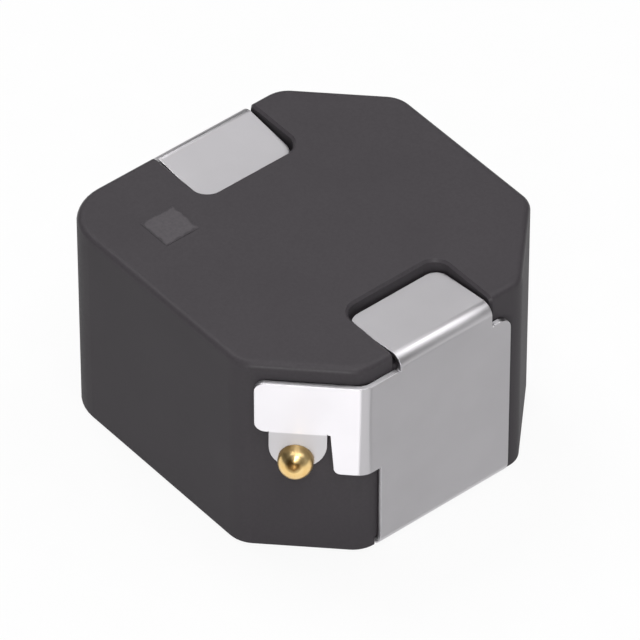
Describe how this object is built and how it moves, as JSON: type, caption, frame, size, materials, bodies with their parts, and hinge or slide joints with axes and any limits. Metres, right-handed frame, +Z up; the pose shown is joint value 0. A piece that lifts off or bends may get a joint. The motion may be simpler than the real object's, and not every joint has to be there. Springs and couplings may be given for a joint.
{
  "type": "shielded smd inductor",
  "caption": "Shielded surface-mount inductor: a pressed iron powder block round a wire winding, with folded tinned clips that wrap its top, side and underside as solder pads.",
  "frame": {"origin": "on the board surface, under the middle of the block", "axes": "+Z up off the board, +X towards the start terminal, whose cut corner faces +X and -Y"},
  "size_m": [0.013, 0.0126, 0.0083],
  "materials": {
    "pressed_powder": "satin",
    "enamelled_copper": "gloss",
    "tinned_sheet": "satin",
    "weld_bronze": "polished",
    "mark_ink": "matte"
  },
  "bodies": {
    "root": {"moulded_body": "pressed_powder", "winding": "enamelled_copper", "terminal_clip_start": "tinned_sheet", "terminal_clip_finish": "tinned_sheet", "weld_bead_start": "weld_bronze", "weld_bead_finish": "weld_bronze", "start_mark": "mark_ink"}
  },
  "joints": []
}
